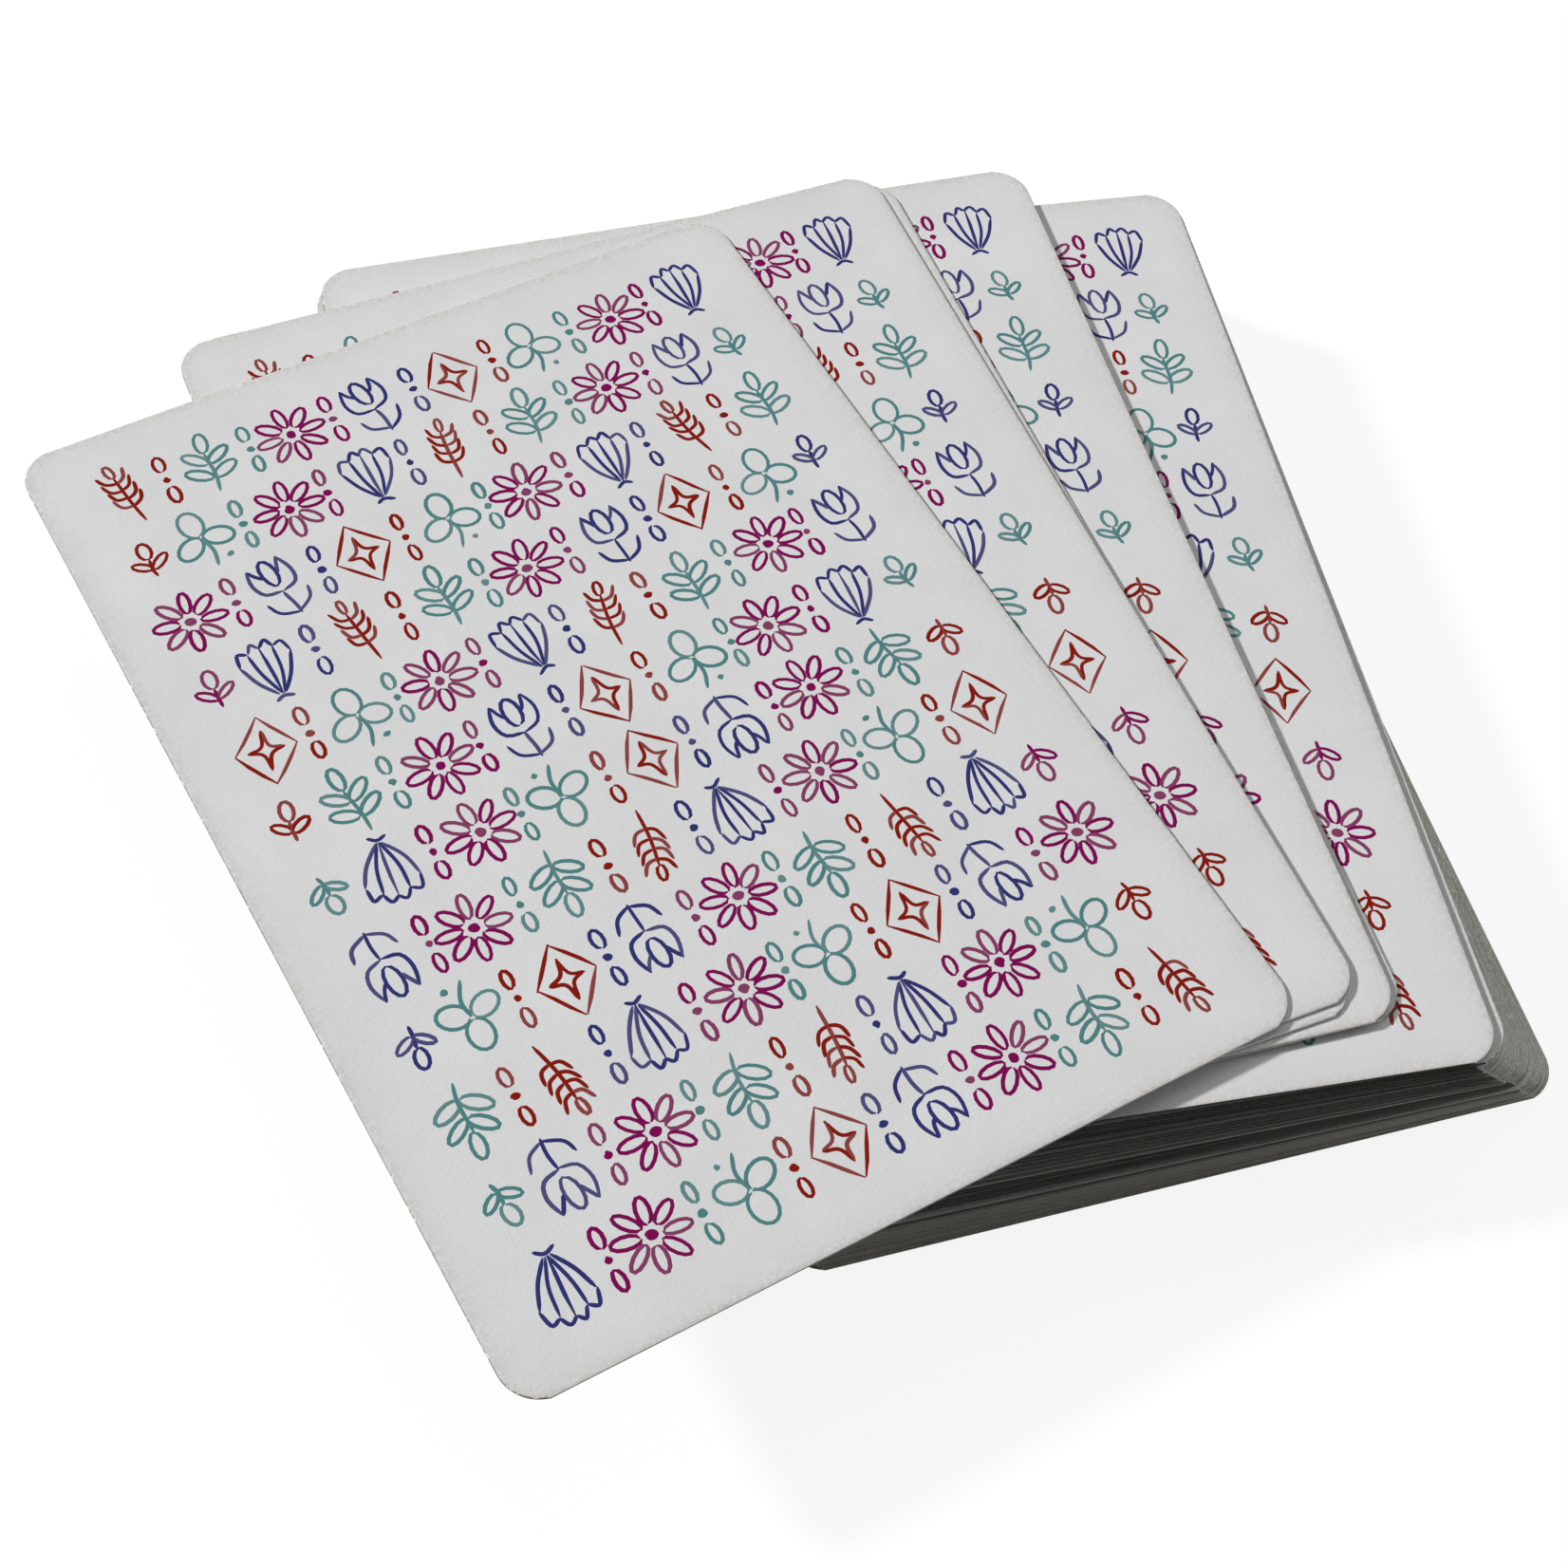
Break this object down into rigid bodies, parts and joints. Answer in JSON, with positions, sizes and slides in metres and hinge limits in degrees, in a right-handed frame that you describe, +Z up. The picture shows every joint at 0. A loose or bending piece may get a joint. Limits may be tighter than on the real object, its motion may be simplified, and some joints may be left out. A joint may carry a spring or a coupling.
{
  "type": "playing card deck",
  "caption": "Deck of loose poker-size playing cards lying face down in a leaning pile, the top cards fanned to the left; each card turns about the fan's pinch point.",
  "frame": {"origin": "middle of the bottom card's underside, on the surface the deck rests on", "axes": "+Z up; +Y along the bottom card's long side, away from the viewer; +X along its short side, to the right"},
  "size_m": [0.1074, 0.1031, 0.018],
  "materials": {
    "card_stock": "coated, fine linen emboss"
  },
  "bodies": {
    "card_01_ace_of_hearts": {"card_01_ace_of_hearts": "card_stock"},
    "card_02_two_of_hearts": {"card_02_two_of_hearts": "card_stock"},
    "card_03_three_of_hearts": {"card_03_three_of_hearts": "card_stock"},
    "card_04_four_of_hearts": {"card_04_four_of_hearts": "card_stock"},
    "card_05_five_of_hearts": {"card_05_five_of_hearts": "card_stock"},
    "card_06_six_of_hearts": {"card_06_six_of_hearts": "card_stock"},
    "card_07_seven_of_hearts": {"card_07_seven_of_hearts": "card_stock"},
    "card_08_eight_of_hearts": {"card_08_eight_of_hearts": "card_stock"},
    "card_09_nine_of_hearts": {"card_09_nine_of_hearts": "card_stock"},
    "card_10_ten_of_hearts": {"card_10_ten_of_hearts": "card_stock"},
    "card_11_jack_of_hearts": {"card_11_jack_of_hearts": "card_stock"},
    "card_12_queen_of_hearts": {"card_12_queen_of_hearts": "card_stock"},
    "card_13_king_of_hearts": {"card_13_king_of_hearts": "card_stock"},
    "card_14_ace_of_clubs": {"card_14_ace_of_clubs": "card_stock"},
    "card_15_two_of_clubs": {"card_15_two_of_clubs": "card_stock"},
    "card_16_three_of_clubs": {"card_16_three_of_clubs": "card_stock"},
    "card_17_four_of_clubs": {"card_17_four_of_clubs": "card_stock"},
    "card_18_five_of_clubs": {"card_18_five_of_clubs": "card_stock"},
    "card_19_six_of_clubs": {"card_19_six_of_clubs": "card_stock"},
    "card_20_seven_of_clubs": {"card_20_seven_of_clubs": "card_stock"},
    "card_21_eight_of_clubs": {"card_21_eight_of_clubs": "card_stock"},
    "card_22_nine_of_clubs": {"card_22_nine_of_clubs": "card_stock"},
    "card_23_ten_of_clubs": {"card_23_ten_of_clubs": "card_stock"},
    "card_24_jack_of_clubs": {"card_24_jack_of_clubs": "card_stock"},
    "card_25_queen_of_clubs": {"card_25_queen_of_clubs": "card_stock"},
    "card_26_king_of_clubs": {"card_26_king_of_clubs": "card_stock"},
    "card_27_king_of_diamonds": {"card_27_king_of_diamonds": "card_stock"},
    "card_28_queen_of_diamonds": {"card_28_queen_of_diamonds": "card_stock"},
    "card_29_jack_of_diamonds": {"card_29_jack_of_diamonds": "card_stock"},
    "card_30_ten_of_diamonds": {"card_30_ten_of_diamonds": "card_stock"},
    "card_31_nine_of_diamonds": {"card_31_nine_of_diamonds": "card_stock"},
    "card_32_eight_of_diamonds": {"card_32_eight_of_diamonds": "card_stock"},
    "card_33_seven_of_diamonds": {"card_33_seven_of_diamonds": "card_stock"},
    "card_34_six_of_diamonds": {"card_34_six_of_diamonds": "card_stock"},
    "card_35_five_of_diamonds": {"card_35_five_of_diamonds": "card_stock"},
    "card_36_four_of_diamonds": {"card_36_four_of_diamonds": "card_stock"},
    "card_37_three_of_diamonds": {"card_37_three_of_diamonds": "card_stock"},
    "card_38_two_of_diamonds": {"card_38_two_of_diamonds": "card_stock"},
    "card_39_ace_of_diamonds": {"card_39_ace_of_diamonds": "card_stock"},
    "card_40_king_of_spades": {"card_40_king_of_spades": "card_stock"},
    "card_41_queen_of_spades": {"card_41_queen_of_spades": "card_stock"},
    "card_42_jack_of_spades": {"card_42_jack_of_spades": "card_stock"},
    "card_43_ten_of_spades": {"card_43_ten_of_spades": "card_stock"},
    "card_44_nine_of_spades": {"card_44_nine_of_spades": "card_stock"},
    "card_45_eight_of_spades": {"card_45_eight_of_spades": "card_stock"},
    "card_46_seven_of_spades": {"card_46_seven_of_spades": "card_stock"},
    "card_47_six_of_spades": {"card_47_six_of_spades": "card_stock"},
    "card_48_five_of_spades": {"card_48_five_of_spades": "card_stock"},
    "card_49_four_of_spades": {"card_49_four_of_spades": "card_stock"},
    "card_50_three_of_spades": {"card_50_three_of_spades": "card_stock"},
    "card_51_two_of_spades": {"card_51_two_of_spades": "card_stock"},
    "card_52_ace_of_spades": {"card_52_ace_of_spades": "card_stock"},
    "card_53_first_joker": {"card_53_first_joker": "card_stock"},
    "card_54_second_joker": {"card_54_second_joker": "card_stock"}
  },
  "joints": [
    {"name": "fan_card_01_ace_of_hearts", "type": "hinge", "parent": "card_54_second_joker", "child": "card_01_ace_of_hearts", "pos_m": [0.002, -0.034, 0], "axis": [0, 0, 1], "range_deg": [-146.22, 118.78]},
    {"name": "fan_card_02_two_of_hearts", "type": "hinge", "parent": "card_54_second_joker", "child": "card_02_two_of_hearts", "pos_m": [0.002, -0.034, 0], "axis": [0, 0, 1], "range_deg": [-137.05, 122.95]},
    {"name": "fan_card_03_three_of_hearts", "type": "hinge", "parent": "card_54_second_joker", "child": "card_03_three_of_hearts", "pos_m": [0.002, -0.034, 0], "axis": [0, 0, 1], "range_deg": [-133.41, 121.59]},
    {"name": "fan_card_04_four_of_hearts", "type": "hinge", "parent": "card_54_second_joker", "child": "card_04_four_of_hearts", "pos_m": [0.002, -0.034, 0], "axis": [0, 0, 1], "range_deg": [-124.77, 125.23]},
    {"name": "fan_card_05_five_of_hearts", "type": "hinge", "parent": "card_54_second_joker", "child": "card_05_five_of_hearts", "pos_m": [0.002, -0.034, 0], "axis": [0, 0, 1], "range_deg": [-123.17, 121.83]},
    {"name": "fan_card_06_six_of_hearts", "type": "hinge", "parent": "card_54_second_joker", "child": "card_06_six_of_hearts", "pos_m": [0.002, -0.034, 0], "axis": [0, 0, 1], "range_deg": [-115.3, 124.7]},
    {"name": "fan_card_07_seven_of_hearts", "type": "hinge", "parent": "card_54_second_joker", "child": "card_07_seven_of_hearts", "pos_m": [0.002, -0.034, 0], "axis": [0, 0, 1], "range_deg": [-113.26, 121.74]},
    {"name": "fan_card_08_eight_of_hearts", "type": "hinge", "parent": "card_54_second_joker", "child": "card_08_eight_of_hearts", "pos_m": [0.002, -0.034, 0], "axis": [0, 0, 1], "range_deg": [-110.47, 119.53]},
    {"name": "fan_card_09_nine_of_hearts", "type": "hinge", "parent": "card_54_second_joker", "child": "card_09_nine_of_hearts", "pos_m": [0.002, -0.034, 0], "axis": [0, 0, 1], "range_deg": [-108.06, 116.94]},
    {"name": "fan_card_10_ten_of_hearts", "type": "hinge", "parent": "card_54_second_joker", "child": "card_10_ten_of_hearts", "pos_m": [0.002, -0.034, 0], "axis": [0, 0, 1], "range_deg": [-105.66, 114.34]},
    {"name": "fan_card_11_jack_of_hearts", "type": "hinge", "parent": "card_54_second_joker", "child": "card_11_jack_of_hearts", "pos_m": [0.002, -0.034, 0], "axis": [0, 0, 1], "range_deg": [-103.28, 111.72]},
    {"name": "fan_card_12_queen_of_hearts", "type": "hinge", "parent": "card_54_second_joker", "child": "card_12_queen_of_hearts", "pos_m": [0.002, -0.034, 0], "axis": [0, 0, 1], "range_deg": [-100.85, 109.15]},
    {"name": "fan_card_13_king_of_hearts", "type": "hinge", "parent": "card_54_second_joker", "child": "card_13_king_of_hearts", "pos_m": [0.002, -0.034, 0], "axis": [0, 0, 1], "range_deg": [-98.45, 106.55]},
    {"name": "fan_card_14_ace_of_clubs", "type": "hinge", "parent": "card_54_second_joker", "child": "card_14_ace_of_clubs", "pos_m": [0.002, -0.034, 0], "axis": [0, 0, 1], "range_deg": [-96.11, 103.89]},
    {"name": "fan_card_15_two_of_clubs", "type": "hinge", "parent": "card_54_second_joker", "child": "card_15_two_of_clubs", "pos_m": [0.002, -0.034, 0], "axis": [0, 0, 1], "range_deg": [-93.71, 101.29]},
    {"name": "fan_card_16_three_of_clubs", "type": "hinge", "parent": "card_54_second_joker", "child": "card_16_three_of_clubs", "pos_m": [0.002, -0.034, 0], "axis": [0, 0, 1], "range_deg": [-91.29, 98.71]},
    {"name": "fan_card_17_four_of_clubs", "type": "hinge", "parent": "card_54_second_joker", "child": "card_17_four_of_clubs", "pos_m": [0.002, -0.034, 0], "axis": [0, 0, 1], "range_deg": [-88.91, 96.09]},
    {"name": "fan_card_18_five_of_clubs", "type": "hinge", "parent": "card_54_second_joker", "child": "card_18_five_of_clubs", "pos_m": [0.002, -0.034, 0], "axis": [0, 0, 1], "range_deg": [-86.47, 93.53]},
    {"name": "fan_card_19_six_of_clubs", "type": "hinge", "parent": "card_54_second_joker", "child": "card_19_six_of_clubs", "pos_m": [0.002, -0.034, 0], "axis": [0, 0, 1], "range_deg": [-84.08, 90.92]},
    {"name": "fan_card_20_seven_of_clubs", "type": "hinge", "parent": "card_54_second_joker", "child": "card_20_seven_of_clubs", "pos_m": [0.002, -0.034, 0], "axis": [0, 0, 1], "range_deg": [-81.65, 88.35]},
    {"name": "fan_card_21_eight_of_clubs", "type": "hinge", "parent": "card_54_second_joker", "child": "card_21_eight_of_clubs", "pos_m": [0.002, -0.034, 0], "axis": [0, 0, 1], "range_deg": [-79.31, 85.69]},
    {"name": "fan_card_22_nine_of_clubs", "type": "hinge", "parent": "card_54_second_joker", "child": "card_22_nine_of_clubs", "pos_m": [0.002, -0.034, 0], "axis": [0, 0, 1], "range_deg": [-76.86, 83.14]},
    {"name": "fan_card_23_ten_of_clubs", "type": "hinge", "parent": "card_54_second_joker", "child": "card_23_ten_of_clubs", "pos_m": [0.002, -0.034, 0], "axis": [0, 0, 1], "range_deg": [-74.49, 80.51]},
    {"name": "fan_card_24_jack_of_clubs", "type": "hinge", "parent": "card_54_second_joker", "child": "card_24_jack_of_clubs", "pos_m": [0.002, -0.034, 0], "axis": [0, 0, 1], "range_deg": [-72.06, 77.94]},
    {"name": "fan_card_25_queen_of_clubs", "type": "hinge", "parent": "card_54_second_joker", "child": "card_25_queen_of_clubs", "pos_m": [0.002, -0.034, 0], "axis": [0, 0, 1], "range_deg": [-69.65, 75.35]},
    {"name": "fan_card_26_king_of_clubs", "type": "hinge", "parent": "card_54_second_joker", "child": "card_26_king_of_clubs", "pos_m": [0.002, -0.034, 0], "axis": [0, 0, 1], "range_deg": [-67.28, 72.72]},
    {"name": "fan_card_27_king_of_diamonds", "type": "hinge", "parent": "card_54_second_joker", "child": "card_27_king_of_diamonds", "pos_m": [0.002, -0.034, 0], "axis": [0, 0, 1], "range_deg": [-64.83, 70.17]},
    {"name": "fan_card_28_queen_of_diamonds", "type": "hinge", "parent": "card_54_second_joker", "child": "card_28_queen_of_diamonds", "pos_m": [0.002, -0.034, 0], "axis": [0, 0, 1], "range_deg": [-62.47, 67.53]},
    {"name": "fan_card_29_jack_of_diamonds", "type": "hinge", "parent": "card_54_second_joker", "child": "card_29_jack_of_diamonds", "pos_m": [0.002, -0.034, 0], "axis": [0, 0, 1], "range_deg": [-60.08, 64.92]},
    {"name": "fan_card_30_ten_of_diamonds", "type": "hinge", "parent": "card_54_second_joker", "child": "card_30_ten_of_diamonds", "pos_m": [0.002, -0.034, 0], "axis": [0, 0, 1], "range_deg": [-57.67, 62.33]},
    {"name": "fan_card_31_nine_of_diamonds", "type": "hinge", "parent": "card_54_second_joker", "child": "card_31_nine_of_diamonds", "pos_m": [0.002, -0.034, 0], "axis": [0, 0, 1], "range_deg": [-55.25, 59.75]},
    {"name": "fan_card_32_eight_of_diamonds", "type": "hinge", "parent": "card_54_second_joker", "child": "card_32_eight_of_diamonds", "pos_m": [0.002, -0.034, 0], "axis": [0, 0, 1], "range_deg": [-52.84, 57.16]},
    {"name": "fan_card_33_seven_of_diamonds", "type": "hinge", "parent": "card_54_second_joker", "child": "card_33_seven_of_diamonds", "pos_m": [0.002, -0.034, 0], "axis": [0, 0, 1], "range_deg": [-50.46, 54.54]},
    {"name": "fan_card_34_six_of_diamonds", "type": "hinge", "parent": "card_54_second_joker", "child": "card_34_six_of_diamonds", "pos_m": [0.002, -0.034, 0], "axis": [0, 0, 1], "range_deg": [-48.05, 51.95]},
    {"name": "fan_card_35_five_of_diamonds", "type": "hinge", "parent": "card_54_second_joker", "child": "card_35_five_of_diamonds", "pos_m": [0.002, -0.034, 0], "axis": [0, 0, 1], "range_deg": [-45.6, 49.4]},
    {"name": "fan_card_36_four_of_diamonds", "type": "hinge", "parent": "card_54_second_joker", "child": "card_36_four_of_diamonds", "pos_m": [0.002, -0.034, 0], "axis": [0, 0, 1], "range_deg": [-43.26, 46.74]},
    {"name": "fan_card_37_three_of_diamonds", "type": "hinge", "parent": "card_54_second_joker", "child": "card_37_three_of_diamonds", "pos_m": [0.002, -0.034, 0], "axis": [0, 0, 1], "range_deg": [-40.87, 44.13]},
    {"name": "fan_card_38_two_of_diamonds", "type": "hinge", "parent": "card_54_second_joker", "child": "card_38_two_of_diamonds", "pos_m": [0.002, -0.034, 0], "axis": [0, 0, 1], "range_deg": [-38.46, 41.54]},
    {"name": "fan_card_39_ace_of_diamonds", "type": "hinge", "parent": "card_54_second_joker", "child": "card_39_ace_of_diamonds", "pos_m": [0.002, -0.034, 0], "axis": [0, 0, 1], "range_deg": [-36.01, 38.99]},
    {"name": "fan_card_40_king_of_spades", "type": "hinge", "parent": "card_54_second_joker", "child": "card_40_king_of_spades", "pos_m": [0.002, -0.034, 0], "axis": [0, 0, 1], "range_deg": [-33.61, 36.39]},
    {"name": "fan_card_41_queen_of_spades", "type": "hinge", "parent": "card_54_second_joker", "child": "card_41_queen_of_spades", "pos_m": [0.002, -0.034, 0], "axis": [0, 0, 1], "range_deg": [-31.21, 33.79]},
    {"name": "fan_card_42_jack_of_spades", "type": "hinge", "parent": "card_54_second_joker", "child": "card_42_jack_of_spades", "pos_m": [0.002, -0.034, 0], "axis": [0, 0, 1], "range_deg": [-28.8, 31.2]},
    {"name": "fan_card_43_ten_of_spades", "type": "hinge", "parent": "card_54_second_joker", "child": "card_43_ten_of_spades", "pos_m": [0.002, -0.034, 0], "axis": [0, 0, 1], "range_deg": [-26.43, 28.57]},
    {"name": "fan_card_44_nine_of_spades", "type": "hinge", "parent": "card_54_second_joker", "child": "card_44_nine_of_spades", "pos_m": [0.002, -0.034, 0], "axis": [0, 0, 1], "range_deg": [-24.03, 25.97]},
    {"name": "fan_card_45_eight_of_spades", "type": "hinge", "parent": "card_54_second_joker", "child": "card_45_eight_of_spades", "pos_m": [0.002, -0.034, 0], "axis": [0, 0, 1], "range_deg": [-21.6, 23.4]},
    {"name": "fan_card_46_seven_of_spades", "type": "hinge", "parent": "card_54_second_joker", "child": "card_46_seven_of_spades", "pos_m": [0.002, -0.034, 0], "axis": [0, 0, 1], "range_deg": [-19.2, 20.8]},
    {"name": "fan_card_47_six_of_spades", "type": "hinge", "parent": "card_54_second_joker", "child": "card_47_six_of_spades", "pos_m": [0.002, -0.034, 0], "axis": [0, 0, 1], "range_deg": [-16.85, 18.15]},
    {"name": "fan_card_48_five_of_spades", "type": "hinge", "parent": "card_54_second_joker", "child": "card_48_five_of_spades", "pos_m": [0.002, -0.034, 0], "axis": [0, 0, 1], "range_deg": [-14.45, 15.55]},
    {"name": "fan_card_49_four_of_spades", "type": "hinge", "parent": "card_54_second_joker", "child": "card_49_four_of_spades", "pos_m": [0.002, -0.034, 0], "axis": [0, 0, 1], "range_deg": [-11.98, 13.02]},
    {"name": "fan_card_50_three_of_spades", "type": "hinge", "parent": "card_54_second_joker", "child": "card_50_three_of_spades", "pos_m": [0.002, -0.034, 0], "axis": [0, 0, 1], "range_deg": [-9.58, 10.42]},
    {"name": "fan_card_51_two_of_spades", "type": "hinge", "parent": "card_54_second_joker", "child": "card_51_two_of_spades", "pos_m": [0.002, -0.034, 0], "axis": [0, 0, 1], "range_deg": [-7.17, 7.83]},
    {"name": "fan_card_52_ace_of_spades", "type": "hinge", "parent": "card_54_second_joker", "child": "card_52_ace_of_spades", "pos_m": [0.002, -0.034, 0], "axis": [0, 0, 1], "range_deg": [-4.79, 5.21]},
    {"name": "fan_card_53_first_joker", "type": "hinge", "parent": "card_54_second_joker", "child": "card_53_first_joker", "pos_m": [0.002, -0.034, 0], "axis": [0, 0, 1], "range_deg": [-2.41, 2.59]}
  ]
}
